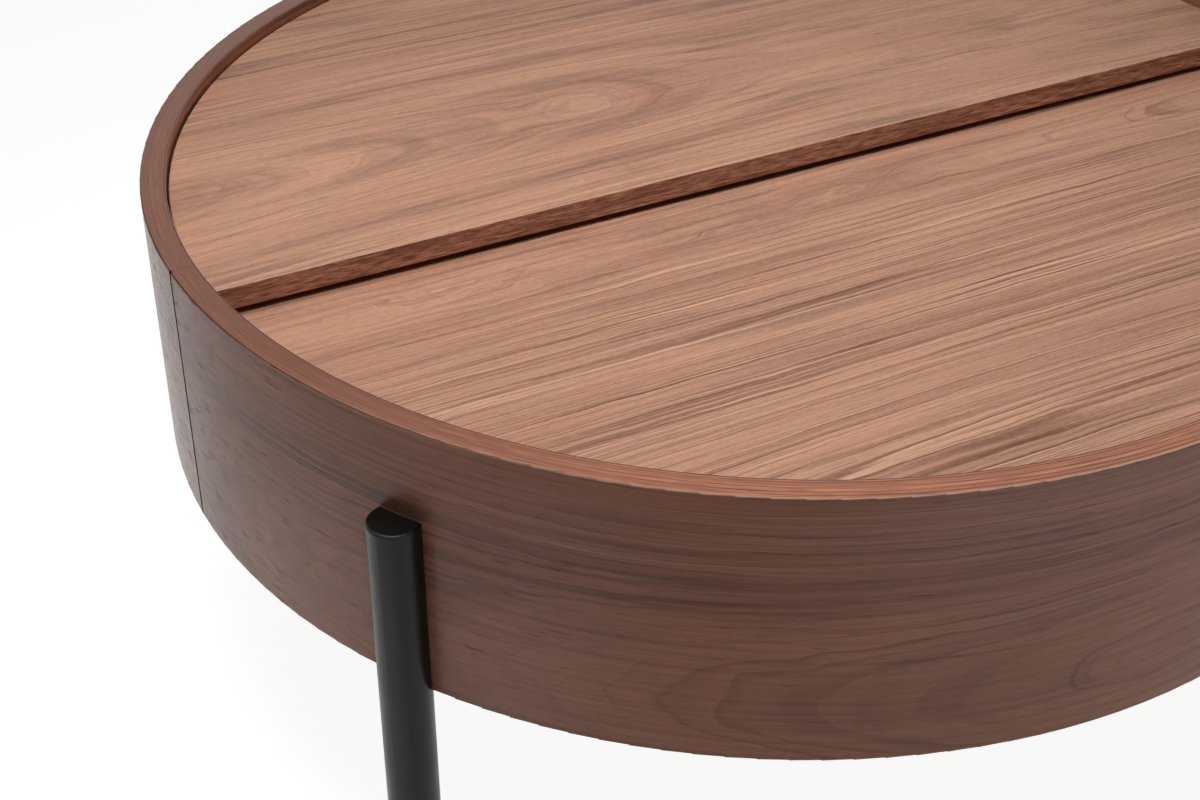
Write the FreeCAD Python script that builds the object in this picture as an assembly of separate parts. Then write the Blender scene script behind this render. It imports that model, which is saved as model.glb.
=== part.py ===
"""Swivel coffee table: a laminated drum on three notched steel legs, with a fixed and a turning half lid.

Millimetres, +Z up. The origin is on the floor, on the drum's axis. The lids' straight edges run along X,
the fixed lid is at the front (-Y) and the turning lid at the rear (+Y).
"""
import FreeCAD, Part
import math
import os

# Drum of two bent half shells
drum_radius = 400.0
drum_wall = 15.5
drum_height = 172.0
drum_clear_height = 188.0
rim_round = 1.2
inner_rim_round = 0.6
seam_bevel = 1.0

# Base panel in a groove of the shells
base_thickness = 12.0
base_setback = 10.0
base_groove_depth = 5.0
base_side_play = 0.4
base_groove_play = 0.2

# Lids
upper_lid_recess = 8.0
upper_lid_thickness = 15.0
lid_gap = 4.0
lower_lid_thickness = 15.0
upper_lid_play = 1.2
lower_lid_play = 0.5
upper_lid_reach = 19.0
lower_lid_reach = 40.0
lipping_depth = 6.0
lid_arris = 0.6

# Centre rail and the splice blocks that carry it
rail_thickness = 22.0
rail_setback = 3.0
block_depth = 22.0
block_width = 66.0
joint_play = 0.2

# Cleat under the fixed lid and ledge under the turning lid
cleat_width = 18.0
cleat_height = 20.0
ledge_width = 20.0
ledge_height = 20.0
ledge_round = 2.0
end_gap = 1.5

# Dowels across the seams
dowel_diameter = 8.0
dowel_length = 30.0
dowel_count = 3
dowel_play = 0.05
dowel_end_room = 1.0

# Wood screws
screw_diameter = 4.0
screw_head_diameter = 8.0
screw_head_height = 2.6
screw_tip_length = 4.0
screw_length = 30.0
wall_screw_length = 26.0
plate_screw_length = 12.0
screw_play = 0.05
arc_screw_count = 5
cleat_lid_screw_count = 4
rail_screw_inset = 60.0
block_screw_spread = 40.0
block_screw_rise = 20.0
rail_end_screw_spread = 20.0

# Pivot
pin_diameter = 12.0
pin_thread_diameter = 10.0
pin_running_play = 0.05
pin_press_play = 0.02
pin_end_play = 0.3
pin_tail = 2.0
pin_tip_bevel = 1.0
plate_thickness = 3.0
plate_width = 72.0
plate_front_reach = 12.0
plate_rear_reach = 58.0
plate_corner = 6.0
plate_play = 0.2
plate_screw_inset = 9.0
bush_wall = 2.0
bush_flange_width = 3.5
bush_flange_thickness = 2.0
bush_fit_play = 0.05
thrust_ring_width = 5.5
thrust_bore_play = 0.3
pivot_washer_diameter = 28.0
pivot_washer_thickness = 2.5
nut_across_flats = 17.0
nut_height = 8.0
nut_collar_height = 2.5
nut_collar_inset = 1.0
nut_bevel = 0.8
thread_play = 0.05

# Lid glides
glide_diameter = 13.0
glide_running_gap = 0.3
glide_count = 5
glide_first_angle = 22.0
glide_edge_bevel = 0.8

# Legs, evenly spaced round the drum
leg_diameter = 30.0
leg_tube_wall = 2.0
leg_stand_off = 5.0
leg_lap = 115.0
leg_back_wall = 3.0
leg_cap_thickness = 3.0
leg_top_round = 1.6
leg_seat_gap = 0.1
leg_places = ("front_left", "front_right", "rear")
first_leg_angle = -150.0

# Foot glides
foot_flange_height = 5.0
foot_plug_length = 22.0
foot_plug_play = 0.25
foot_core_inset = 1.5
foot_rib_count = 3
foot_edge_round = 1.5

# Leg fixings
bolt_diameter = 6.0
bolt_hole_play = 0.3
bolt_head_diameter = 10.5
bolt_head_height = 3.3
bolt_head_round = 2.2
bolt_tip_bevel = 1.0
bolt_socket_across_flats = 4.0
bolt_socket_depth = 2.0
bolt_tail = 2.0
washer_diameter = 16.0
washer_thickness = 1.5
weld_nut_across_flats = 10.0
weld_nut_height = 5.0
leg_bolt_count = 2

# Levels and radii that follow from the sizes above
drum_bottom = drum_clear_height
drum_top = drum_bottom + drum_height
inner_radius = drum_radius - drum_wall
wall_middle = drum_radius - drum_wall / 2
base_bottom = drum_bottom + base_setback
base_top = base_bottom + base_thickness
upper_lid_top = drum_top - upper_lid_recess
upper_lid_bottom = upper_lid_top - upper_lid_thickness
lower_lid_top = upper_lid_bottom - lid_gap
lower_lid_bottom = lower_lid_top - lower_lid_thickness
upper_lid_radius = inner_radius - upper_lid_play
lower_lid_radius = inner_radius - lower_lid_play
rail_bottom = lower_lid_bottom - rail_thickness
rail_half_width = lower_lid_reach - rail_setback
cleat_bottom = lower_lid_bottom - cleat_height
ledge_bottom = lower_lid_top - ledge_height
glide_circle = inner_radius - ledge_width / 2
leg_circle = drum_radius + leg_stand_off
leg_top = drum_bottom + leg_lap
leg_step = 360.0 / len(leg_places)
leg_angles = {place: first_leg_angle + leg_step * index for index, place in enumerate(leg_places)}
seat_radius = drum_radius + leg_seat_gap
back_radius = seat_radius + leg_back_wall
bolt_step = (cleat_bottom - base_top) / (leg_bolt_count + 1)
bolt_levels = [base_top + bolt_step * (index + 1) for index in range(leg_bolt_count)]
washer_seat = math.sqrt(inner_radius ** 2 - (washer_diameter / 2) ** 2)
bolt_start = washer_seat - washer_thickness
pin_shoulder = rail_bottom - pin_end_play
pivot_washer_bottom = pin_shoulder - pivot_washer_thickness
nut_bottom = pivot_washer_bottom - nut_height - nut_collar_height

UP = FreeCAD.Vector(0, 0, 1)
DOWN = FreeCAD.Vector(0, 0, -1)
CENTRE = FreeCAD.Vector(0, 0, 0)


# Helpers

def polar(radius, azimuth, z):
    angle = math.radians(azimuth)
    return FreeCAD.Vector(radius * math.cos(angle), radius * math.sin(angle), z)


def cylinder(radius, low, high, x=0.0, y=0.0):
    return Part.makeCylinder(radius, high - low, FreeCAD.Vector(x, y, low))


def ring(inner, outer, low, high):
    return cylinder(outer, low, high).cut(cylinder(inner, low, high))


def box(low_corner, high_corner):
    low = FreeCAD.Vector(*low_corner)
    size = FreeCAD.Vector(*high_corner) - low
    return Part.makeBox(size.x, size.y, size.z, low)


def turned(outline):
    """Solid of revolution about Z from a closed outline of (radius, z) points."""
    points = [FreeCAD.Vector(radius, 0, z) for radius, z in outline]
    face = Part.Face(Part.makePolygon(points + points[:1]))
    return face.revolve(CENTRE, UP, 360)


def hexagon(across_flats, low, high):
    corner_radius = across_flats / math.sqrt(3)
    corners = [polar(corner_radius, 60 * side, low) for side in range(7)]
    return Part.Face(Part.makePolygon(corners)).extrude(UP * (high - low))


def placed(shape, point, direction):
    """The shape, drawn along +Z from the origin, set at a point and turned to a direction."""
    copy = shape.copy()
    copy.Placement = FreeCAD.Placement(point, FreeCAD.Rotation(UP, direction))
    return copy


def arcs_at(shape, radius, z):
    """Circular edges of a given radius that lie at a given level."""
    return [
        edge for edge in shape.Edges
        if isinstance(edge.Curve, Part.Circle)
        and abs(edge.Curve.Radius - radius) < 1e-6
        and abs(edge.Curve.Center.z - z) < 1e-6
    ]


def straight_edges_at(shape, y, z):
    """Straight edges along X at a given depth and level."""
    return [
        edge for edge in shape.Edges
        if isinstance(edge.Curve, Part.Line)
        and all(abs(v.Y - y) < 1e-6 and abs(v.Z - z) < 1e-6 for v in edge.Vertexes)
    ]


def behind(y, reach):
    """Block that covers everything behind a plane across Y."""
    return box((-reach, y, -reach), (reach, reach, reach))


def rear_part(shape, y):
    return shape.common(behind(y, drum_radius + drum_top))


def front_part(shape, y):
    return shape.cut(behind(y, drum_radius + drum_top))


# Fasteners

def wood_screw(length, play=0.0):
    """Countersunk screw from its head's face at z = 0 to its tip; play makes the hole it sits in."""
    shank = screw_diameter / 2 + play
    head = screw_head_diameter / 2 + play
    return turned([
        (0, 0),
        (head, 0),
        (shank, screw_head_height),
        (shank, length - screw_tip_length),
        (0, length + play),
    ])


def screws(seats, length=screw_length, play=0.0):
    return Part.makeCompound([placed(wood_screw(length, play), *seat) for seat in seats])


def screw_holes(seats, length=screw_length):
    return screws(seats, length, screw_play)


def block_screw_seats():
    x = inner_radius - block_depth
    y = block_screw_spread / 2
    middle = (base_top + rail_bottom) / 2
    levels = (middle - block_screw_rise / 2, middle + block_screw_rise / 2)
    return [
        (FreeCAD.Vector(side * x, across, z), FreeCAD.Vector(side, 0, 0))
        for side in (-1, 1)
        for across in (-y, y)
        for z in levels
    ]


def rail_end_seats():
    x = inner_radius - block_depth / 2
    y = rail_end_screw_spread / 2
    return [
        (FreeCAD.Vector(side * x, across, lower_lid_bottom), DOWN)
        for side in (-1, 1)
        for across in (-y, y)
    ]


def radial_seats(first, last, radius, z):
    step = (last - first) / arc_screw_count
    azimuths = [first + step * (index + 0.5) for index in range(arc_screw_count)]
    return [(polar(radius, azimuth, z), polar(1, azimuth, 0)) for azimuth in azimuths]


def cleat_wall_seats():
    return radial_seats(-180, 0, inner_radius - cleat_width, cleat_bottom + cleat_height / 2)


def ledge_wall_seats():
    return radial_seats(0, 180, inner_radius - ledge_width, ledge_bottom + ledge_height / 2)


def lower_lid_seats():
    span = inner_radius - block_depth - rail_screw_inset
    rail_seats = [(FreeCAD.Vector(span * share, 0, rail_bottom), UP) for share in (-1, -0.5, 0.5, 1)]
    step = 180 / cleat_lid_screw_count
    azimuths = [-180 + step * (index + 0.5) for index in range(cleat_lid_screw_count)]
    cleat_seats = [(polar(inner_radius - cleat_width / 2, azimuth, cleat_bottom), UP) for azimuth in azimuths]
    return rail_seats + cleat_seats


def plate_screw_seats():
    x = plate_width / 2 - plate_screw_inset
    rows = (plate_screw_inset - plate_front_reach, plate_rear_reach - plate_screw_inset)
    return [(FreeCAD.Vector(side * x, y, upper_lid_bottom), UP) for side in (-1, 1) for y in rows]


def leg_bolt_axes():
    """Inner seat point and outward direction of each leg bolt."""
    return [
        (polar(bolt_start, azimuth, z), polar(1, azimuth, 0))
        for azimuth in leg_angles.values()
        for z in bolt_levels
    ]


def bolt_holes():
    drill = cylinder(bolt_diameter / 2 + bolt_hole_play, 0, back_radius + weld_nut_height - bolt_start)
    return Part.makeCompound([placed(drill, *axis) for axis in leg_bolt_axes()])


def leg_bolts():
    """Button-headed bolts with a hexagon socket, from inside the drum into the legs' weld nuts."""
    tip = back_radius + weld_nut_height + bolt_tail - bolt_start
    head_radius = bolt_head_diameter / 2
    shank_radius = bolt_diameter / 2
    head = cylinder(head_radius, -bolt_head_height, 0)
    head = head.makeFillet(bolt_head_round, arcs_at(head, head_radius, -bolt_head_height))
    shank = cylinder(shank_radius, 0, tip)
    shank = shank.makeChamfer(bolt_tip_bevel, arcs_at(shank, shank_radius, tip))
    socket = hexagon(bolt_socket_across_flats, -bolt_head_height, bolt_socket_depth - bolt_head_height)
    bolt = head.fuse(shank).removeSplitter().cut(socket)
    return Part.makeCompound([placed(bolt, *axis) for axis in leg_bolt_axes()])


def leg_washers():
    washer = ring(bolt_diameter / 2 + bolt_hole_play, washer_diameter / 2, 0, washer_thickness)
    return Part.makeCompound([placed(washer, *axis) for axis in leg_bolt_axes()])


def leg_weld_nuts():
    nut = hexagon(weld_nut_across_flats, 0, weld_nut_height)
    nut = nut.cut(cylinder(bolt_diameter / 2 + thread_play, 0, weld_nut_height))
    seats = [
        (polar(back_radius, azimuth, z), polar(1, azimuth, 0))
        for azimuth in leg_angles.values()
        for z in bolt_levels
    ]
    return Part.makeCompound([placed(nut, *seat) for seat in seats])


def dowel_seats():
    step = drum_height / (dowel_count + 1)
    return [
        FreeCAD.Vector(side * wall_middle, 0, drum_bottom + step * (index + 1))
        for side in (-1, 1)
        for index in range(dowel_count)
    ]


def dowels(play=0.0, end_room=0.0):
    half = dowel_length / 2 + end_room
    dowel = cylinder(dowel_diameter / 2 + play, -half, half)
    across = FreeCAD.Vector(0, 1, 0)
    return Part.makeCompound([placed(dowel, seat, across) for seat in dowel_seats()])


# Drum

def half_shell(turn):
    """Half of the bent drum wall: rounded rim, base groove, bevelled seam, and holes for what it carries."""
    wall = Part.makeCylinder(drum_radius, drum_height, FreeCAD.Vector(0, 0, drum_bottom), UP, 180)
    wall = wall.cut(cylinder(inner_radius, drum_bottom, drum_top))
    wall.rotate(CENTRE, UP, turn)
    for z in (drum_bottom, drum_top):
        wall = wall.makeFillet(rim_round, arcs_at(wall, drum_radius, z))
        wall = wall.makeFillet(inner_rim_round, arcs_at(wall, inner_radius, z))
    groove = cylinder(inner_radius + base_groove_depth, base_bottom, base_top + base_groove_play)
    wall = wall.cut(groove)
    half = seam_bevel / math.sqrt(2)
    bevel = box((-half, -half, drum_bottom), (half, half, drum_top))
    bevel.rotate(CENTRE, UP, 45)
    for side in (-1, 1):
        wall = wall.cut(bevel.translated(FreeCAD.Vector(side * drum_radius, 0, 0)))
    wall = wall.cut(dowels(dowel_play, dowel_end_room))
    wall = wall.cut(bolt_holes())
    wall = wall.cut(screw_holes(block_screw_seats()))
    wall = wall.cut(screw_holes(cleat_wall_seats(), wall_screw_length))
    return wall.cut(screw_holes(ledge_wall_seats(), wall_screw_length))


def base_panel():
    return cylinder(inner_radius + base_groove_depth - base_side_play, base_bottom, base_top)


def splice_block(side):
    inner = inner_radius - block_depth
    half = block_width / 2
    block = box((inner, -half, base_top), (drum_radius, half, rail_bottom))
    block = block.common(cylinder(inner_radius - joint_play, base_top, rail_bottom))
    block = block if side > 0 else block.mirror(CENTRE, FreeCAD.Vector(1, 0, 0))
    block = block.cut(screw_holes(block_screw_seats()))
    return block.cut(screw_holes(rail_end_seats()))


def centre_rail():
    """Flat rail across the drum, with ends that follow the wall."""
    half = rail_half_width
    rail = box((-drum_radius, -half, rail_bottom), (drum_radius, half, lower_lid_bottom))
    rail = rail.common(cylinder(inner_radius - joint_play, rail_bottom, lower_lid_bottom))
    bush_radius = pin_diameter / 2 + pin_running_play + bush_wall
    rail = rail.cut(cylinder(bush_radius + bush_fit_play, rail_bottom, lower_lid_bottom))
    rail = rail.cut(screw_holes(rail_end_seats()))
    return rail.cut(screw_holes(lower_lid_seats()))


def front_cleat():
    cleat = ring(inner_radius - cleat_width, inner_radius - joint_play, cleat_bottom, lower_lid_bottom)
    cleat = front_part(cleat, -rail_half_width - end_gap)
    cleat = cleat.cut(screw_holes(cleat_wall_seats(), wall_screw_length))
    return cleat.cut(screw_holes(lower_lid_seats()))


def rear_ledge():
    inner = inner_radius - ledge_width
    ledge = ring(inner, inner_radius - joint_play, ledge_bottom, lower_lid_top)
    ledge = rear_part(ledge, lower_lid_reach + end_gap)
    ledge = ledge.makeFillet(ledge_round, arcs_at(ledge, inner, lower_lid_top))
    return ledge.cut(screw_holes(ledge_wall_seats(), wall_screw_length))


# Lids

def lower_lid():
    lid = cylinder(lower_lid_radius, lower_lid_bottom, lower_lid_top)
    lid = lid.makeChamfer(lid_arris, arcs_at(lid, lower_lid_radius, lower_lid_top))
    lid = front_part(lid, lower_lid_reach - lipping_depth)
    bush_radius = pin_diameter / 2 + pin_running_play + bush_wall
    lid = lid.cut(cylinder(bush_radius + bush_fit_play, lower_lid_bottom, lower_lid_top))
    flange_low = lower_lid_top - bush_flange_thickness
    lid = lid.cut(cylinder(bush_radius + bush_flange_width + bush_fit_play, flange_low, lower_lid_top))
    return lid.cut(screw_holes(lower_lid_seats()))


def upper_lid():
    lid = cylinder(upper_lid_radius, upper_lid_bottom, upper_lid_top)
    lid = lid.makeChamfer(lid_arris, arcs_at(lid, upper_lid_radius, upper_lid_top))
    lid = rear_part(lid, lipping_depth - upper_lid_reach)
    lid = lid.cut(plate_outline(plate_play, plate_play))
    return lid.cut(screw_holes(plate_screw_seats(), plate_screw_length))


def lipping(radius, low, high, face, back):
    """Solid edging on a lid's straight edge, with both arrises of its face taken off."""
    strip = box((-drum_radius, min(face, back), low), (drum_radius, max(face, back), high))
    strip = strip.common(cylinder(radius, low, high))
    arrises = straight_edges_at(strip, face, low) + straight_edges_at(strip, face, high)
    return strip.makeChamfer(lid_arris, arrises)


def upper_lid_lipping():
    back = lipping_depth - upper_lid_reach
    strip = lipping(upper_lid_radius, upper_lid_bottom, upper_lid_top, -upper_lid_reach, back)
    return strip.cut(plate_outline(plate_play, plate_play))


def lower_lid_lipping():
    back = lower_lid_reach - lipping_depth
    return lipping(lower_lid_radius, lower_lid_bottom, lower_lid_top, lower_lid_reach, back)


def lid_glides():
    """Low round pads under the turning lid's rim, which run on the ledge and over the fixed lid."""
    low = lower_lid_top + glide_running_gap
    step = (180 - 2 * glide_first_angle) / (glide_count - 1)
    pads = []
    for index in range(glide_count):
        seat = polar(glide_circle, glide_first_angle + step * index, 0)
        pad = cylinder(glide_diameter / 2, low, upper_lid_bottom, seat.x, seat.y)
        pads.append(pad.makeChamfer(glide_edge_bevel, arcs_at(pad, glide_diameter / 2, low)))
    return Part.makeCompound(pads)


# Pivot

def plate_outline(side_play=0.0, top_play=0.0):
    """Flat plate with rounded corners in the underside of the turning lid."""
    half = plate_width / 2 + side_play
    top = upper_lid_bottom + plate_thickness + top_play
    front = -plate_front_reach - side_play
    plate = box((-half, front, upper_lid_bottom), (half, plate_rear_reach + side_play, top))
    corners = [edge for edge in plate.Edges if edge.BoundBox.ZLength > plate_thickness / 2]
    return plate.makeFillet(plate_corner, corners)


def pivot_plate():
    pin_hole_radius = pin_diameter / 2 + pin_press_play
    plate = plate_outline()
    plate = plate.cut(cylinder(pin_hole_radius, upper_lid_bottom, upper_lid_bottom + plate_thickness))
    return plate.cut(screw_holes(plate_screw_seats(), plate_screw_length))


def pivot_pin():
    radius = pin_diameter / 2
    thread = pin_thread_diameter / 2
    tip = nut_bottom - pin_tail
    return turned([
        (0, upper_lid_bottom + plate_thickness),
        (radius, upper_lid_bottom + plate_thickness),
        (radius, pin_shoulder),
        (thread, pin_shoulder),
        (thread, tip + pin_tip_bevel),
        (thread - pin_tip_bevel, tip),
        (0, tip),
    ])


def pivot_bush():
    bore = pin_diameter / 2 + pin_running_play
    sleeve = bore + bush_wall
    flange_low = lower_lid_top - bush_flange_thickness
    return turned([
        (bore, rail_bottom),
        (sleeve, rail_bottom),
        (sleeve, flange_low),
        (sleeve + bush_flange_width, flange_low),
        (sleeve + bush_flange_width, lower_lid_top),
        (bore, lower_lid_top),
    ])


def thrust_washer():
    bore = pin_diameter / 2 + thrust_bore_play
    return ring(bore, bore + thrust_ring_width, lower_lid_top, upper_lid_bottom)


def pivot_washer():
    bore = pin_thread_diameter / 2 + thread_play
    return ring(bore, pivot_washer_diameter / 2, pivot_washer_bottom, pin_shoulder)


def pivot_lock_nut():
    """Hexagon nut with a plain round locking collar below it and bevelled corners."""
    bore = pin_thread_diameter / 2 + thread_play
    flat = nut_across_flats / 2
    corner = nut_across_flats / math.sqrt(3)
    hex_low = pivot_washer_bottom - nut_height
    body = hexagon(nut_across_flats, hex_low, pivot_washer_bottom)
    envelope = turned([
        (0, hex_low),
        (flat, hex_low),
        (corner, hex_low + nut_bevel),
        (corner, pivot_washer_bottom - nut_bevel),
        (flat, pivot_washer_bottom),
        (0, pivot_washer_bottom),
    ])
    collar = cylinder(flat - nut_collar_inset, nut_bottom, hex_low)
    nut = body.common(envelope).fuse(collar).removeSplitter()
    return nut.cut(cylinder(bore, nut_bottom, pivot_washer_bottom))


# Legs

def leg(azimuth):
    """Round tube, notched so that the drum stands on its shoulder, with a closed D-shaped upper end."""
    outside = leg_diameter / 2
    bore = outside - leg_tube_wall
    shoulder = drum_bottom - leg_back_wall
    tube = cylinder(outside, foot_flange_height, leg_top, leg_circle)
    tube = tube.cut(cylinder(seat_radius, drum_bottom, leg_top))
    tube = tube.makeFillet(leg_top_round, arcs_at(tube, outside, leg_top))
    tube = tube.cut(cylinder(bore, foot_flange_height, shoulder, leg_circle))
    hollow = cylinder(bore, shoulder, leg_top - leg_cap_thickness, leg_circle)
    hollow = hollow.cut(cylinder(back_radius, shoulder, leg_top))
    tube = tube.cut(hollow)
    tube.rotate(CENTRE, UP, azimuth)
    return tube.cut(bolt_holes())


def foot(azimuth):
    """Plastic glide: a rounded flange that the leg stands on, and a ribbed plug in the tube."""
    outside = leg_diameter / 2
    plug = outside - leg_tube_wall - foot_plug_play
    core = plug - foot_core_inset
    rib_step = foot_plug_length / foot_rib_count
    outline = [
        (0, 0),
        (outside - foot_edge_round, 0),
        (outside, foot_edge_round),
        (outside, foot_flange_height),
    ]
    for index in range(foot_rib_count):
        low = foot_flange_height + rib_step * index
        middle = low + rib_step / 2
        outline += [(core, low), (core, middle), (plug, middle), (core, low + rib_step)]
    outline.append((0, foot_flange_height + foot_plug_length))
    glide = turned(outline)
    glide.translate(polar(leg_circle, azimuth, 0))
    return glide


# All nodes

nodes = {
    "front_shell": half_shell(180),
    "rear_shell": half_shell(0),
    "base_panel": base_panel(),
    "splice_block_left": splice_block(-1),
    "splice_block_right": splice_block(1),
    "splice_screws": screws(block_screw_seats()),
    "seam_dowels": dowels(),
    "centre_rail": centre_rail(),
    "rail_screws": screws(rail_end_seats()),
    "front_cleat": front_cleat(),
    "front_cleat_screws": screws(cleat_wall_seats(), wall_screw_length),
    "rear_ledge": rear_ledge(),
    "rear_ledge_screws": screws(ledge_wall_seats(), wall_screw_length),
    "lower_lid": lower_lid(),
    "lower_lid_lipping": lower_lid_lipping(),
    "lower_lid_screws": screws(lower_lid_seats()),
    "upper_lid": upper_lid(),
    "upper_lid_lipping": upper_lid_lipping(),
    "lid_glides": lid_glides(),
    "pivot_plate": pivot_plate(),
    "plate_screws": screws(plate_screw_seats(), plate_screw_length),
    "pivot_pin": pivot_pin(),
    "pivot_bush": pivot_bush(),
    "thrust_washer": thrust_washer(),
    "pivot_washer": pivot_washer(),
    "pivot_lock_nut": pivot_lock_nut(),
    "leg_bolts": leg_bolts(),
    "leg_washers": leg_washers(),
    "leg_weld_nuts": leg_weld_nuts(),
}
for place, leg_angle in leg_angles.items():
    nodes["leg_" + place] = leg(leg_angle)
    nodes["foot_" + place] = foot(leg_angle)

os.makedirs("parts", exist_ok=True)
for name, shape in nodes.items():
    shape.exportStep("parts/" + name + ".step")
    print(name, len(shape.Solids), shape.isValid(), round(shape.Volume))
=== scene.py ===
import math
from dataclasses import dataclass
from typing import NamedTuple

import bpy
from mathutils import Matrix, Vector


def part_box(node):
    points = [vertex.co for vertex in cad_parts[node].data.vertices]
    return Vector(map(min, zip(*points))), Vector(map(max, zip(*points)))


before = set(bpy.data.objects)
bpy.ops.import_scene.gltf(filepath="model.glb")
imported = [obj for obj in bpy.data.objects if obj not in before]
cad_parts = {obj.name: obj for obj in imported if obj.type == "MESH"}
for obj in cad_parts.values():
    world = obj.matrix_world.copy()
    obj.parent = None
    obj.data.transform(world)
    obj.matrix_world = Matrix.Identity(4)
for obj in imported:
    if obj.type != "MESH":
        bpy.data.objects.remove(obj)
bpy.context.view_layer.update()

MM = 0.001

# Levels and radii of the drum
shell_low, shell_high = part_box("front_shell")
DRUM_RADIUS = -shell_low.y
DRUM_WALL = 15.5 * MM
DRUM_TOP = shell_high.z
DRUM_BOTTOM = shell_low.z

# Rim of the drum, in metres in from its outer face
RIM_START = (0.1 * MM, 0.3 * MM)
RIM_END = (DRUM_WALL - 0.3 * MM, DRUM_WALL - 0.1 * MM)
GLUE_LINES = (2.4 * MM, 5.0 * MM, 8.4 * MM, 13.0 * MM)
GLUE_LINE_REACH = 0.7 * MM
OUTER_EDGE_LINE = 0.5 * MM
INNER_EDGE_LINE = DRUM_WALL - 0.7 * MM
EDGE_LINE_REACH = 0.8 * MM
EDGE_LINE_SHARE = 0.9

# Rim of the drum from its front to its sides, in y: a painted highlight on the outer edge in front, with glue
# lines fuller there, and painted shade towards the sides and back
HIGHLIT_FRONT = (-0.38, -0.2)
SHADED_SIDES = (-0.4, -0.1)
SHADED_SIDES_SHARE = 0.75

# Seam between the half shells: a dark joint line, and painted shade over its bevelled groove and a little
# beyond
SEAM_SHADE_REACH = (1.2 * MM, 1.5 * MM)
SEAM_SHADE_DEPTH = (1.2 * MM, 1.6 * MM)
JOINT_REACH = 0.4 * MM
JOINT_SHARE = 0.6

# Camera that was fitted to the photograph
CAMERA_PLACE = Vector((-0.6413, -1.0028, DRUM_TOP + 0.5839))
CAMERA_HEADING = 27.187
CAMERA_PITCH = 33.859
CAMERA_ROLL = -0.2225
CAMERA_LENS = 61.314
SENSOR_WIDTH = 36.0

# Floor and surroundings
WHITE = (1.0, 1.0, 1.0, 1.0)
FLOOR_HALF = 6.0
FLOOR_SHADE = (0.3, 0.3, 0.3, 1.0)
FLOOR_BOUNCE = (0.8, 0.8, 0.8, 1.0)
FLOOR_GLOW = 0.93
WORLD_LIGHT = 0.03
WORLD_SEEN = 1.0
FLOOR_LAMP_HEIGHT = 1.2


def colour(red, green, blue):
    """Linear colour from an eight-bit sRGB reading."""
    def linear(value):
        value /= 255.0
        return value / 12.92 if value <= 0.04045 else ((value + 0.055) / 1.055) ** 2.4
    return (linear(red), linear(green), linear(blue), 1.0)


class Finish(NamedTuple):
    """Gloss of a surface, and the depth of its relief."""
    roughness: float
    relief: float
    specular: float = 0.5


class Graph:
    """Short-hand for building the nodes of one material or world."""

    def __init__(self, owner):
        owner.use_nodes = True
        self.owner = owner
        self.tree = owner.node_tree
        self.tree.nodes.clear()
        self.coordinates = None

    def node(self, kind, **settings):
        made = self.tree.nodes.new(kind)
        for key, value in settings.items():
            setattr(made, key, value)
        return made

    def feed(self, socket, value):
        if isinstance(value, bpy.types.NodeSocket):
            self.tree.links.new(value, socket)
        elif value is not None:
            socket.default_value = value

    def math(self, operation, *values):
        made = self.node("ShaderNodeMath", operation=operation)
        for socket, value in zip(made.inputs, values):
            self.feed(socket, value)
        return made.outputs[0]

    def add(self, a, b):
        return self.math("ADD", a, b)

    def sub(self, a, b):
        return self.math("SUBTRACT", a, b)

    def mul(self, a, b):
        return self.math("MULTIPLY", a, b)

    def div(self, a, b):
        return self.math("DIVIDE", a, b)

    def remap(self, value, low, high, to_low=0.0, to_high=1.0):
        """Smooth step from one range to another."""
        made = self.node("ShaderNodeMapRange", interpolation_type="SMOOTHSTEP")
        for socket, item in zip(made.inputs, (value, low, high, to_low, to_high)):
            self.feed(socket, item)
        return made.outputs[0]

    def vector(self, x, y, z):
        made = self.node("ShaderNodeCombineXYZ")
        for socket, value in zip(made.inputs, (x, y, z)):
            self.feed(socket, value)
        return made.outputs[0]

    def split(self, vector):
        made = self.node("ShaderNodeSeparateXYZ")
        self.feed(made.inputs[0], vector)
        return made.outputs[0], made.outputs[1], made.outputs[2]

    def noise(self, vector, scale=1.0, detail=2.0, roughness=0.5):
        made = self.node("ShaderNodeTexNoise", noise_dimensions="3D")
        self.feed(made.inputs["Vector"], vector)
        self.feed(made.inputs["Scale"], scale)
        self.feed(made.inputs["Detail"], detail)
        self.feed(made.inputs["Roughness"], roughness)
        return made.outputs[0]

    def mix(self, factor, a, b):
        made = self.node("ShaderNodeMix", data_type="RGBA")
        self.feed(made.inputs["Factor"], factor)
        for name, value in (("A", a), ("B", b)):
            socket = next(s for s in made.inputs if s.name == name and s.type == "RGBA")
            self.feed(socket, value)
        return next(s for s in made.outputs if s.type == "RGBA")

    def place(self):
        """Object coordinates, which are the frame's metres at rest."""
        if self.coordinates is None:
            self.coordinates = self.node("ShaderNodeTexCoord")
        return self.coordinates.outputs["Object"]

    def normal(self):
        self.place()
        return self.coordinates.outputs["Normal"]

    def bump(self, height, distance):
        made = self.node("ShaderNodeBump")
        self.feed(made.inputs["Height"], height)
        self.feed(made.inputs["Distance"], distance)
        return made.outputs[0]

    def surface(self, tone, roughness, normal, **constants):
        """Finish the material with a Principled shader; constants go on its own sockets."""
        shader = self.node("ShaderNodeBsdfPrincipled")
        self.feed(shader.inputs["Base Color"], tone)
        self.feed(shader.inputs["Roughness"], roughness)
        self.feed(shader.inputs["Normal"], normal)
        for key, value in constants.items():
            shader.inputs[key.replace("_", " ")].default_value = value
        self.output("ShaderNodeOutputMaterial", shader)
        return self.owner

    def finish(self, tone, relief, finish, roughness=None):
        """Finish the material with a named finish, or with its own roughness in place of that one's."""
        rough = finish.roughness if roughness is None else roughness
        return self.surface(tone, rough, self.bump(relief, finish.relief), Specular_IOR_Level=finish.specular)

    def output(self, kind, shader):
        self.feed(self.node(kind).inputs["Surface"], shader.outputs[0])


def material_graph(name):
    return Graph(bpy.data.materials.new(name))


# Walnut veneer

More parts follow.
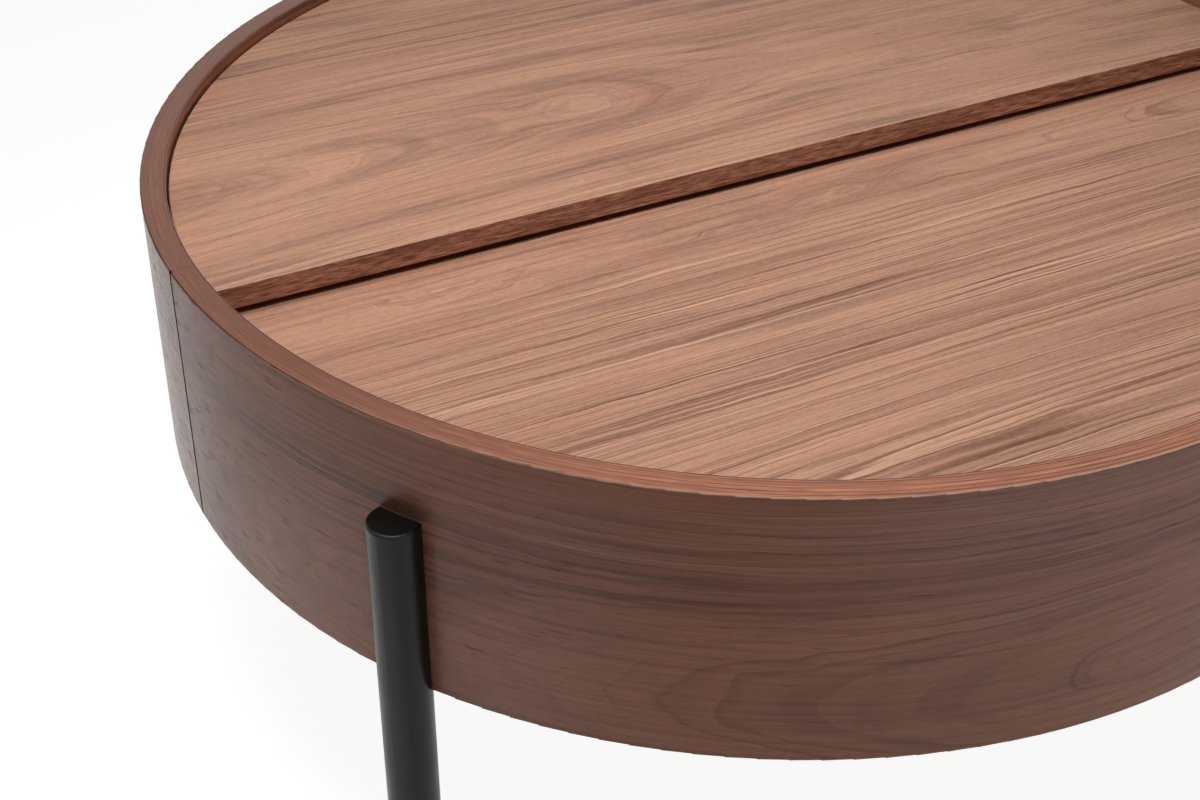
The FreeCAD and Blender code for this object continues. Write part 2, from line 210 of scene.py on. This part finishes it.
class Layer(NamedTuple):
    """Noise drawn out along the grain: its rates, its place in the noise, and a window that sharpens it."""
    along: float
    across: float
    offset: float
    detail: float = 2.0
    roughness: float = 0.5
    window: tuple = ()


class RingLines(NamedTuple):
    """Lines that follow the rings: how many cross a ring, and how wide dark and pale ones are."""
    rate: float
    dark: float
    pale: float
    offset: float


class Eye(NamedTuple):
    """Oval in the figure: its place and size along and across the grain, and how far the rings bulge."""
    along: float
    across: float
    length: float
    width: float
    depth: float


# Layers with rates per metre along and across the grain
SLOW_WAVE = Layer(2.6, 6.0, offset=0.0, detail=1.0)
QUICK_WAVE = Layer(14.0, 45.0, offset=7.0)
FINE_WAVE = Layer(28.0, 60.0, offset=9.0, detail=1.0)
STREAKS = Layer(4.0, 260.0, offset=41.0, detail=5.0, roughness=0.65, window=(0.40, 0.75))
SPECKLES = Layer(180.0, 520.0, offset=49.0, detail=3.0, roughness=0.7)
FIBRES = Layer(70.0, 1700.0, offset=57.0, detail=3.0, roughness=0.6)
FINE_PORES = Layer(75.0, 1400.0, offset=71.0, detail=1.0, window=(0.62, 0.72))
LONG_PORES = Layer(60.0, 1000.0, offset=71.0, detail=1.0, window=(0.62, 0.72))
RIM_FIBRES = Layer(45.0, 1600.0, offset=5.0, detail=3.0, window=(0.36, 0.64))
RIM_BANDS = Layer(3.0, 300.0, offset=8.0, window=(0.4, 0.6))
RIM_FADE = Layer(9.0, 120.0, offset=2.0, detail=1.0, window=(0.35, 0.65, 0.55, 1.0))
LIPPING_WAVE = Layer(18.0, 60.0, offset=0.0)
LIPPING_FIBRES = Layer(70.0, 700.0, offset=3.0, detail=4.0, roughness=0.65)
LIPPING_BANDS = Layer(14.0, 190.0, offset=9.0, detail=3.0, window=(0.45, 0.65))

# Layers and lines with rates per metre along the grain and per ring across it
BROAD_BANDS = Layer(2.0, 0.35, offset=21.0, detail=3.0, window=(0.3, 0.7))
GREY_BANDS = Layer(4.0, 0.6, offset=33.0, detail=4.0, roughness=0.65, window=(0.46, 0.70))
MAIN_LINES = RingLines(rate=1.3, dark=0.075, pale=0.05, offset=13.0)
FINE_LINES = RingLines(rate=3.4, dark=0.11, pale=0.08, offset=17.0)
LINE_RATE_ALONG = 0.9
LINE_EDGE = 0.012
LINE_STRENGTH_ALONG = 5.0
LINE_STRENGTH_ACROSS = 0.8
LINE_STRENGTH_OFFSET = 5.0
LINE_STRENGTH_WINDOW = (0.36, 0.64, 0.1, 1.0)

# Figure along the arches' centre line and away from it
CENTRE_PALE_LOSS = 0.7
CENTRE_LINE_LOSS = 0.5
RIPPLE_ASIDE = 0.25
TAPER_SOFTNESS = 0.04
WALL_TAPER_SOFTNESS = 0.01

# Pale core of an eye, as shares of the eye
CORE_LENGTH = 0.42
CORE_WIDTH = 0.5
CORE_WINDOW = (0.25, 0.55)
CORE_SHARE = 0.55

# Speckles and fibres in the tone, and fibres and pores in the relief
PALE_SPECKLES = (0.5, 0.25)
DARK_SPECKLES = (0.5, 0.75)
FIBRE_START = 0.35
FIBRE_SHARE = 0.25
FIBRE_RELIEF = 0.5
PORE_RELIEF = 0.8

# Face, top and arrises of a lipping, with a painted highlight along the arrises; facing is the normal's part
# upwards
WAVE_REACH = 5.0 * MM
LIPPING_WINDOW = (0.3, 0.7)
LIPPING_BAND_SHARE = 0.55
TOP_FACING = (0.8, 0.95)
ARRIS_FACING = 0.71
ARRIS_REACH = 0.15
ARRIS_HIGHLIGHT_SHARE = 0.6

# Shares on the rim, and dullness of seams and pores on the drum
RIM_BAND_SHARE = 0.4
GLUE_AT_SIDES = 0.4
SEAM_DULLNESS = 0.6
PORE_DULLNESS = 0.6

# Finishes of the walnut
PANEL_FINISH = Finish(roughness=0.5, relief=0.04 * MM, specular=0.06)
LIPPING_FINISH = Finish(roughness=0.5, relief=0.12 * MM, specular=0.06)
DRUM_FINISH = Finish(roughness=0.27, relief=0.03 * MM, specular=0.175)
STRIP_FINISH = Finish(roughness=0.45, relief=0.03 * MM, specular=0.12)


@dataclass
class Figure:
    """Figure of one veneer, in metres along and across its grain; the shares run from nought to one."""
    seed: float
    centre: float                  # of the arches, across the grain
    depth: float                   # of the cut from the log's core
    arch_width: float
    spacing: float                 # of the growth rings
    sway: float                    # reach of the slow wave
    ripple: float                  # reach of the quick wave
    wobble: float                  # reach of the fine wave
    grey: float                    # shares of the tones
    streak: float
    line: float
    pale: float
    fine: float
    pore: float
    speckle: float
    pores: Layer
    lean: float = 0.0              # slope and curve of the centre line
    bend: float = 0.0
    taper: float = 0.0             # how fast the arches close along the grain
    taper_end: float = 1.0
    eyes: tuple = ()


LID_PALETTE = {
    "pale": colour(228, 180, 151),
    "light": colour(210, 160, 133),
    "middle": colour(191, 142, 118),
    "grey": colour(148, 113, 97),
    "dark": colour(100, 65, 51),
    "pore": colour(92, 61, 49),
}
WALL_PALETTE = {
    "pale": colour(199, 139, 111),
    "light": colour(179, 123, 98),
    "middle": colour(163, 108, 85),
    "grey": colour(124, 87, 73),
    "dark": colour(76, 49, 40),
    "pore": colour(42, 28, 24),
}
LIPPING_PALETTE = {
    "dark": colour(131, 89, 71),
    "light": colour(232, 177, 150),
    "band": colour(120, 81, 66),
    # Painted highlight along the arrises
    "arris_highlight": colour(226, 182, 156),
}
RIM_PALETTE = {
    "dark": colour(162, 103, 78),
    "light": colour(208, 139, 105),
    "band": colour(119, 74, 59),
    # Painted shade: colour that darkens the rim towards its sides and back
    "side": colour(104, 61, 46),
    "glue": colour(92, 53, 40),
    "edge": colour(62, 36, 28),
    # Painted highlight on the outer edge of the rim in front
    "highlit_edge": colour(226, 178, 158),
    # Dark joint line, and painted shade in the seam's groove
    "seam": colour(24, 16, 13),
}

UPPER_FIGURE = Figure(
    seed=3.0, centre=0.098, depth=0.060, arch_width=0.09, spacing=0.012,
    lean=0.03, bend=0.12, taper=0.126, taper_end=0.05,
    sway=0.014, ripple=0.005, wobble=0.0025,
    grey=0.85, streak=0.42, line=0.65, pale=0.35, fine=0.6, pore=0.25, speckle=0.22,
    pores=FINE_PORES,
    eyes=(Eye(along=-0.085, across=0.100, length=0.028, width=0.020, depth=0.018),),
)
LOWER_FIGURE = Figure(
    seed=11.0, centre=-0.055, depth=0.022, arch_width=0.05, spacing=0.0105,
    sway=0.010, ripple=0.010, wobble=0.003,
    grey=0.55, streak=0.44, line=0.85, pale=1.0, fine=0.75, pore=0.25, speckle=0.22,
    pores=FINE_PORES,
    eyes=(
        Eye(along=0.315, across=-0.055, length=0.07, width=0.022, depth=0.02),
        Eye(along=0.0, across=-0.29, length=0.30, width=0.04, depth=-0.02),
    ),
)
WALL_FIGURE = Figure(
    seed=23.0, centre=DRUM_BOTTOM + 0.040, depth=0.044, arch_width=0.06, spacing=0.0095,
    taper=0.04, sway=0.012, ripple=0.003, wobble=0.002,
    grey=0.55, streak=0.48, line=0.72, pale=0.4, fine=0.75, pore=0.4, speckle=0.12,
    pores=LONG_PORES,
)
BASE_FIGURE = Figure(
    seed=37.0, centre=0.06, depth=0.050, arch_width=0.09, spacing=0.012,
    lean=0.02, bend=0.05, taper=0.10, taper_end=0.2,
    sway=0.014, ripple=0.006, wobble=0.0025,
    grey=0.5, streak=0.5, line=0.55, pale=0.3, fine=0.6, pore=0.4, speckle=0.15,
    pores=FINE_PORES,
)
STRIP_FIGURE = Figure(
    seed=51.0, centre=0.5, depth=0.050, arch_width=0.06, spacing=0.009,
    sway=0.010, ripple=0.003, wobble=0.002,
    grey=0.4, streak=0.4, line=0.5, pale=0.35, fine=0.6, pore=0.4, speckle=0.15,
    pores=LONG_PORES,
)


def hump(g, value, centre, width):
    """Bell-shaped hump of height one."""
    off = g.div(g.sub(value, centre), width)
    return g.math("EXPONENT", g.mul(g.mul(off, off), -1.0))


def layer_noise(g, layer, place):
    """Noise of one layer at a place, through the layer's window if it has one."""
    value = g.noise(place, detail=layer.detail, roughness=layer.roughness)
    return g.remap(value, *layer.window) if layer.window else value


def grain(g, layer, along, across, seed=0.0):
    """One layer of noise on the veneer, from nought to one."""
    place = g.vector(g.mul(along, layer.along), g.mul(across, layer.across), seed + layer.offset)
    return layer_noise(g, layer, place)


def wave(g, layer, along, across, seed):
    """One layer of noise on both sides of nought."""
    return g.sub(grain(g, layer, along, across, seed), 0.5)


def growth_rings(g, along, across, taper, figure):
    """Count of rings where the veneer cuts the log, and how near the arches' centre line is."""
    slow = wave(g, SLOW_WAVE, along, across, figure.seed)
    quick = wave(g, QUICK_WAVE, along, across, figure.seed)
    fine = wave(g, FINE_WAVE, along, across, figure.seed)
    lean = g.mul(along, g.add(g.mul(along, figure.bend), figure.lean))
    flow = g.add(g.sub(across, figure.centre), g.add(lean, g.mul(slow, figure.sway)))
    radius = g.math("SQRT", g.add(g.mul(flow, flow), figure.depth ** 2))
    near = hump(g, flow, 0.0, figure.arch_width)
    ripple_share = g.add(g.mul(near, 1.0 - RIPPLE_ASIDE), RIPPLE_ASIDE)
    ripple = g.mul(g.mul(quick, figure.ripple), ripple_share)
    count = g.add(g.add(g.add(radius, g.mul(taper, near)), ripple), g.mul(fine, figure.wobble))
    for eye in figure.eyes:
        bulge = g.mul(hump(g, along, eye.along, eye.length), hump(g, across, eye.across, eye.width))
        count = g.sub(count, g.mul(bulge, eye.depth))
    return g.div(count, figure.spacing), near


def ring_lines(g, lines, along, count, seed):
    """Dark lines that end sharply against pale ones, along the rings and of uneven strength."""
    place = Layer(LINE_RATE_ALONG, lines.rate, lines.offset, detail=1.0)
    level = wave(g, place, along, count, seed)
    uneven = Layer(
        LINE_STRENGTH_ALONG, lines.rate * LINE_STRENGTH_ACROSS, lines.offset + LINE_STRENGTH_OFFSET,
        detail=3.0, window=LINE_STRENGTH_WINDOW,
    )
    strength = grain(g, uneven, along, count, seed)
    dark = g.mul(g.remap(level, -LINE_EDGE, LINE_EDGE), g.remap(level, 0.0, lines.dark, 1.0, 0.0))
    pale = g.mul(g.remap(level, -LINE_EDGE, LINE_EDGE, 1.0, 0.0), g.remap(level, -lines.pale, 0.0))
    return g.mul(dark, strength), g.mul(pale, strength)


def walnut(g, along, across, taper, figure, palette):
    """Colour, relief and pores of a walnut veneer, from metres along and across its grain."""
    seed = figure.seed
    count, near = growth_rings(g, along, across, taper, figure)
    dark, pale = ring_lines(g, MAIN_LINES, along, count, seed)
    fine_dark, fine_pale = ring_lines(g, FINE_LINES, along, count, seed)
    broad = grain(g, BROAD_BANDS, along, count, seed)
    grey = grain(g, GREY_BANDS, along, count, seed)
    streak = grain(g, STREAKS, along, across, seed)
    speckle = grain(g, SPECKLES, along, across, seed)
    fibre = grain(g, FIBRES, along, across, seed)
    pores = grain(g, figure.pores, along, across, seed)
    pale_share = g.mul(g.sub(1.0, g.mul(near, CENTRE_PALE_LOSS)), figure.pale)
    line_share = g.mul(g.sub(1.0, g.mul(near, CENTRE_LINE_LOSS)), figure.line)

    # Broad tones first, then lines, the eyes' pale cores, speckles, fibres and pores
    tone = g.mix(broad, palette["light"], palette["middle"])
    tone = g.mix(g.mul(grey, figure.grey), tone, palette["grey"])
    tone = g.mix(g.mul(streak, figure.streak), tone, palette["dark"])
    tone = g.mix(g.mul(fine_pale, g.mul(pale_share, figure.fine)), tone, palette["pale"])
    tone = g.mix(g.mul(pale, pale_share), tone, palette["pale"])
    tone = g.mix(g.mul(fine_dark, g.mul(line_share, figure.fine)), tone, palette["dark"])
    tone = g.mix(g.mul(dark, line_share), tone, palette["dark"])
    for eye in figure.eyes:
        if eye.depth > 0.0:
            core_along = hump(g, along, eye.along, eye.length * CORE_LENGTH)
            core = g.mul(core_along, hump(g, across, eye.across, eye.width * CORE_WIDTH))
            tone = g.mix(g.mul(g.remap(core, *CORE_WINDOW), CORE_SHARE), tone, palette["light"])
    tone = g.mix(g.mul(g.remap(speckle, *PALE_SPECKLES), figure.speckle), tone, palette["pale"])
    tone = g.mix(g.mul(g.remap(speckle, *DARK_SPECKLES), figure.speckle), tone, palette["dark"])
    tone = g.mix(g.mul(g.sub(fibre, FIBRE_START), FIBRE_SHARE), tone, palette["dark"])
    tone = g.mix(g.mul(pores, figure.pore), tone, palette["pore"])
    relief = g.sub(g.mul(fibre, FIBRE_RELIEF), g.mul(pores, PORE_RELIEF))
    return tone, relief, pores


def panel_veneer(g, x, y, figure, palette):
    """Veneer of a flat panel, with the grain along the lids' straight edges."""
    taper = g.mul(g.math("SMOOTH_MIN", x, figure.taper_end, TAPER_SOFTNESS), figure.taper)
    return walnut(g, x, y, taper, figure, palette)


def panel_material(name, figure, palette):
    """Veneered panel with a dull lacquer."""
    g = material_graph(name)
    x, y, _ = g.split(g.place())
    tone, relief, _ = panel_veneer(g, x, y, figure, palette)
    return g.finish(tone, relief, PANEL_FINISH)


def edge_grain(g, layer, along, level):
    """One layer of noise on the upright face of a lipping."""
    place = g.vector(g.mul(along, layer.along), layer.offset, g.mul(level, layer.across))
    return layer_noise(g, layer, place)


def lipping_material(name, figure):
    """Solid walnut edging: the lid's figure on top, coarse wavy fibres on its face, a painted highlight on
    its arrises.
    """
    g = material_graph(name)
    x, y, z = g.split(g.place())
    level = g.add(z, g.mul(edge_grain(g, LIPPING_WAVE, x, z), WAVE_REACH))
    coarse = edge_grain(g, LIPPING_FIBRES, x, level)
    broad = edge_grain(g, LIPPING_BANDS, x, level)
    face = g.mix(g.remap(coarse, *LIPPING_WINDOW), LIPPING_PALETTE["dark"], LIPPING_PALETTE["light"])
    face = g.mix(g.mul(broad, LIPPING_BAND_SHARE), face, LIPPING_PALETTE["band"])
    top, _, _ = panel_veneer(g, x, y, figure, LID_PALETTE)
    facing_up = g.split(g.normal())[2]
    tone = g.mix(g.remap(facing_up, *TOP_FACING), face, top)
    # Painted highlight along the arris, where the normal faces partly up
    arris_highlight = g.mul(hump(g, facing_up, ARRIS_FACING, ARRIS_REACH), ARRIS_HIGHLIGHT_SHARE)
    tone = g.mix(arris_highlight, tone, LIPPING_PALETTE["arris_highlight"])
    return g.finish(tone, coarse, LIPPING_FINISH)


def round_drum(g, x, y):
    """Distance from the drum's axis, angle from its front, and metres round its face."""
    radius = g.math("SQRT", g.add(g.mul(x, x), g.mul(y, y)))
    angle = g.math("ARCTAN2", x, g.mul(y, -1.0))
    return radius, angle, g.mul(angle, DRUM_RADIUS)


def ply_edges(g, turn, depth, y):
    """Rim of the drum: fibres of the plies, painted shade towards its sides and back, glue lines, dark edges,
    and a painted highlight on the outer edge in front.
    """
    fibre = grain(g, RIM_FIBRES, turn, depth)
    band = grain(g, RIM_BANDS, turn, depth)
    # Front of the rim, where its outer edge gets a painted highlight and the glue lines are fuller
    front = g.remap(y, *HIGHLIT_FRONT, 1.0, 0.0)
    glue = g.add(g.mul(front, 1.0 - GLUE_AT_SIDES), GLUE_AT_SIDES)
    fade = g.mul(grain(g, RIM_FADE, turn, depth), glue)
    tone = g.mix(fibre, RIM_PALETTE["dark"], RIM_PALETTE["light"])
    tone = g.mix(g.mul(band, RIM_BAND_SHARE), tone, RIM_PALETTE["band"])
    # Painted shade: the rim darker towards its sides and back
    tone = g.mix(g.remap(y, *SHADED_SIDES, 0.0, SHADED_SIDES_SHARE), tone, RIM_PALETTE["side"])
    for line in GLUE_LINES:
        off = g.math("ABSOLUTE", g.sub(depth, line))
        tone = g.mix(g.mul(g.remap(off, 0.0, GLUE_LINE_REACH, 1.0, 0.0), fade), tone, RIM_PALETTE["glue"])
    # Painted highlight: the outer edge line pale in front, a dark veneer edge towards the sides and back
    highlit_edge = g.mix(front, RIM_PALETTE["edge"], RIM_PALETTE["highlit_edge"])
    for line, edge in ((OUTER_EDGE_LINE, highlit_edge), (INNER_EDGE_LINE, RIM_PALETTE["edge"])):
        off = g.math("ABSOLUTE", g.sub(depth, line))
        tone = g.mix(g.remap(off, 0.0, EDGE_LINE_REACH, EDGE_LINE_SHARE, 0.0), tone, edge)
    return tone


def drum_material(name):
    """Bent drum: walnut veneer round the faces, the edges of the plies on the rim, and dark seam joints with
    painted shade in their grooves.
    """
    g = material_graph(name)
    x, y, z = g.split(g.place())
    radius, angle, turn = round_drum(g, x, y)
    swing = g.math("SINE", angle)
    bow = g.math("SQRT", g.add(g.mul(swing, swing), WALL_TAPER_SOFTNESS))
    veneer, relief, pores = walnut(g, turn, z, g.mul(bow, WALL_FIGURE.taper), WALL_FIGURE, WALL_PALETTE)
    depth = g.sub(DRUM_RADIUS, radius)
    rim = g.mul(g.remap(depth, *RIM_START), g.remap(depth, *RIM_END, 1.0, 0.0))
    face = g.sub(1.0, rim)
    tone = g.mix(rim, veneer, ply_edges(g, turn, depth, y))
    off = g.math("ABSOLUTE", y)
    # Painted shade over the seam's bevelled groove and just beyond it, besides the dark joint line
    groove_shade = g.mul(g.remap(off, *SEAM_SHADE_REACH, 1.0, 0.0), g.remap(depth, *SEAM_SHADE_DEPTH, 1.0, 0.0))
    joint = g.mul(g.remap(off, 0.0, JOINT_REACH, 1.0, 0.0), JOINT_SHARE)
    seam = g.math("MAXIMUM", groove_shade, joint)
    tone = g.mix(seam, tone, RIM_PALETTE["seam"])
    dull = g.add(g.mul(seam, SEAM_DULLNESS), g.mul(g.mul(pores, face), PORE_DULLNESS))
    return g.finish(tone, g.mul(relief, face), DRUM_FINISH, g.add(dull, DRUM_FINISH.roughness))


def strip_material(name):
    """Curved inner strip of walnut, with the grain round the drum."""
    g = material_graph(name)
    x, y, z = g.split(g.place())
    radius, _, turn = round_drum(g, x, y)
    tone, relief, _ = walnut(g, turn, g.add(z, radius), STRIP_FIGURE.taper, STRIP_FIGURE, WALL_PALETTE)
    return g.finish(tone, relief, STRIP_FINISH)


# Other materials

BEECH_LIGHT = colour(208, 170, 130)
BEECH_DARK = colour(184, 142, 104)
BEECH_BANDS = (6.0, 90.0)
BEECH_FLECKS = (120.0, 900.0)
BEECH_OFFSET = 1.0
BAND_WINDOW = (0.3, 0.7)
FLECK_WINDOW = (0.6, 0.75)
FLECK_SHARE = 0.5
CLOUD_WINDOW = (0.3, 0.7)
COAT_ROUGHNESS = (0.3, 0.36)
COAT_RELIEF = 0.04 * MM
COAT_SPECULAR = 0.22
BEECH_FINISH = Finish(roughness=0.55, relief=0.05 * MM)
NYLON_FINISH = Finish(roughness=0.5, relief=0.03 * MM)


def beech_material(name):
    """Plain straight-grained beech, with the grain along x."""
    g = material_graph(name)
    x, y, z = g.split(g.place())
    along, across = BEECH_BANDS
    band_place = g.vector(g.mul(x, along), g.mul(y, across), g.add(g.mul(z, across), BEECH_OFFSET))
    along, across = BEECH_FLECKS
    fleck_place = g.vector(g.mul(x, along), g.mul(y, across), g.mul(z, across))
    bands = g.noise(band_place, detail=4.0)
    flecks = g.noise(fleck_place, detail=1.0)
    tone = g.mix(g.remap(bands, *BAND_WINDOW), BEECH_LIGHT, BEECH_DARK)
    tone = g.mix(g.mul(g.remap(flecks, *FLECK_WINDOW), FLECK_SHARE), tone, BEECH_DARK)
    return g.finish(tone, flecks, BEECH_FINISH)


def powder_coat(name):
    """Satin black powder coat with a faint orange-peel."""
    g = material_graph(name)
    peel = g.noise(g.place(), scale=900.0)
    cloud = g.noise(g.place(), scale=30.0)
    tone = g.mix(cloud, colour(9, 9, 9), colour(13, 12, 11))
    rough = g.remap(cloud, *CLOUD_WINDOW, *COAT_ROUGHNESS)
    return g.surface(tone, rough, g.bump(peel, COAT_RELIEF), Specular_IOR_Level=COAT_SPECULAR)


def clouded_metal(name, scale, dark, light, roughness, relief):
    """Bare metal with faint clouds in its colour and gloss."""
    g = material_graph(name)
    cloud = g.noise(g.place(), scale=scale, detail=3.0)
    rough = g.remap(cloud, *CLOUD_WINDOW, *roughness)
    return g.surface(g.mix(cloud, dark, light), rough, g.bump(cloud, relief), Metallic=1.0)


def moulded_nylon(name):
    """Dark nylon with a fine moulded grain."""
    g = material_graph(name)
    fine = g.noise(g.place(), scale=1400.0)
    cloud = g.noise(g.place(), scale=60.0)
    tone = g.mix(cloud, colour(34, 34, 35), colour(46, 46, 46))
    return g.finish(tone, fine, NYLON_FINISH)


def paint(names, material):
    for name in names:
        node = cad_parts[name]
        node.data.materials.clear()
        node.data.materials.append(material)


paint(["upper_lid"], panel_material("walnut_upper", UPPER_FIGURE, LID_PALETTE))
paint(["lower_lid"], panel_material("walnut_lower", LOWER_FIGURE, LID_PALETTE))
paint(["upper_lid_lipping"], lipping_material("walnut_upper_lipping", UPPER_FIGURE))
paint(["lower_lid_lipping"], lipping_material("walnut_lower_lipping", LOWER_FIGURE))
paint(["front_shell", "rear_shell"], drum_material("walnut_drum"))
paint(["base_panel"], panel_material("walnut_base", BASE_FIGURE, WALL_PALETTE))
paint(["front_cleat", "rear_ledge"], strip_material("walnut_strip"))
paint(
    ["splice_block_left", "splice_block_right", "centre_rail", "seam_dowels"],
    beech_material("beech"),
)
paint(["leg_front_left", "leg_front_right", "leg_rear"], powder_coat("black_steel"))
paint(
    [
        "splice_screws", "rail_screws", "front_cleat_screws", "rear_ledge_screws", "lower_lid_screws",
        "plate_screws", "leg_bolts", "leg_washers", "leg_weld_nuts", "pivot_plate", "pivot_pin",
        "pivot_washer", "pivot_lock_nut",
    ],
    clouded_metal(
        "zinc_steel", scale=160.0, dark=colour(170, 170, 164), light=colour(205, 204, 198),
        roughness=(0.28, 0.42), relief=0.03 * MM,
    ),
)
paint(
    ["pivot_bush"],
    clouded_metal(
        "bush_brass", scale=220.0, dark=colour(190, 150, 82), light=colour(214, 178, 110),
        roughness=(0.25, 0.38), relief=0.02 * MM,
    ),
)
paint(
    ["thrust_washer", "lid_glides", "foot_front_left", "foot_front_right", "foot_rear"],
    moulded_nylon("nylon"),
)


# Floor, light and camera

def seen_rays(g):
    """One for rays that show the surroundings: straight, by reflection or through glass."""
    path = g.node("ShaderNodeLightPath")
    seen = path.outputs["Is Camera Ray"]
    for kind in ("Is Glossy Ray", "Is Transmission Ray"):
        seen = g.math("MAXIMUM", seen, path.outputs[kind])
    return seen


def floor_material(name):
    """Floor that looks white to the camera, keeps the table's shadow and is clear from below."""
    g = material_graph(name)
    seen = seen_rays(g)
    diffuse = g.node("ShaderNodeBsdfDiffuse")
    g.feed(diffuse.inputs["Color"], g.mix(seen, FLOOR_BOUNCE, FLOOR_SHADE))
    glow = g.node("ShaderNodeEmission")
    g.feed(glow.inputs["Color"], WHITE)
    g.feed(glow.inputs["Strength"], g.mul(seen, FLOOR_GLOW))
    lit = g.node("ShaderNodeAddShader")
    g.feed(lit.inputs[0], diffuse.outputs[0])
    g.feed(lit.inputs[1], glow.outputs[0])
    sided = g.node("ShaderNodeMixShader")
    g.feed(sided.inputs[0], g.node("ShaderNodeNewGeometry").outputs["Backfacing"])
    g.feed(sided.inputs[1], lit.outputs[0])
    g.feed(sided.inputs[2], g.node("ShaderNodeBsdfTransparent").outputs[0])
    g.output("ShaderNodeOutputMaterial", sided)
    return g.owner


def make_floor():
    half = FLOOR_HALF
    corners = [(-half, -half, 0.0), (half, -half, 0.0), (half, half, 0.0), (-half, half, 0.0)]
    mesh = bpy.data.meshes.new("floor")
    mesh.from_pydata(corners, [], [(0, 1, 2, 3)])
    floor = bpy.data.objects.new("floor", mesh)
    floor.data.materials.append(floor_material("pale_floor"))
    bpy.context.scene.collection.objects.link(floor)


def make_world():
    """White surroundings that light the table only a little."""
    world = bpy.data.worlds.new("studio")
    bpy.context.scene.world = world
    g = Graph(world)
    background = g.node("ShaderNodeBackground")
    g.feed(background.inputs["Color"], WHITE)
    g.feed(background.inputs["Strength"], g.remap(seen_rays(g), 0.0, 1.0, WORLD_LIGHT, WORLD_SEEN))
    g.output("ShaderNodeOutputWorld", background)


def area_light(name, place, target, size, power, spread):
    """Soft rectangular lamp at a place, turned to a target; spread is in degrees."""
    data = bpy.data.lights.new(name, "AREA")
    data.spread = math.radians(spread)
    data.shape = "RECTANGLE"
    data.size, data.size_y = size
    data.energy = power
    lamp = bpy.data.objects.new(name, data)
    lamp.location = place
    lamp.rotation_euler = (Vector(target) - Vector(place)).to_track_quat("-Z", "Y").to_euler()
    bpy.context.scene.collection.objects.link(lamp)


def floor_light(name, x, y, size, power, spread):
    """Lamp that shines straight down on the floor beside the table."""
    area_light(name, (x, y, FLOOR_LAMP_HEIGHT), (x, y, 0.0), size=size, power=power, spread=spread)


def make_camera():
    data = bpy.data.cameras.new("camera")
    data.lens = CAMERA_LENS
    data.sensor_width = SENSOR_WIDTH
    data.sensor_fit = "HORIZONTAL"
    camera = bpy.data.objects.new("camera", data)
    heading = Matrix.Rotation(math.radians(-CAMERA_HEADING), 4, "Z")
    pitch = Matrix.Rotation(math.radians(90.0 - CAMERA_PITCH), 4, "X")
    roll = Matrix.Rotation(math.radians(CAMERA_ROLL), 4, "Z")
    camera.matrix_world = Matrix.Translation(CAMERA_PLACE) @ heading @ pitch @ roll
    bpy.context.scene.collection.objects.link(camera)
    bpy.context.scene.camera = camera


make_floor()
make_world()
area_light(
    "key", place=(-0.3, -0.12, 1.35), target=(-0.05, -0.09, 0.33), size=(0.8, 0.8), power=4.4, spread=100.0
)
floor_light("floor_left", x=-0.66, y=-0.02, size=(0.15, 0.3), power=0.35, spread=16.0)
floor_light("floor_near", x=-0.6, y=-0.36, size=(0.2, 0.2), power=0.35, spread=16.0)
floor_light("floor_front", x=0.1, y=-1.0, size=(0.8, 0.4), power=3.8, spread=25.0)
make_camera()
bpy.context.scene.view_settings.view_transform = "Standard"
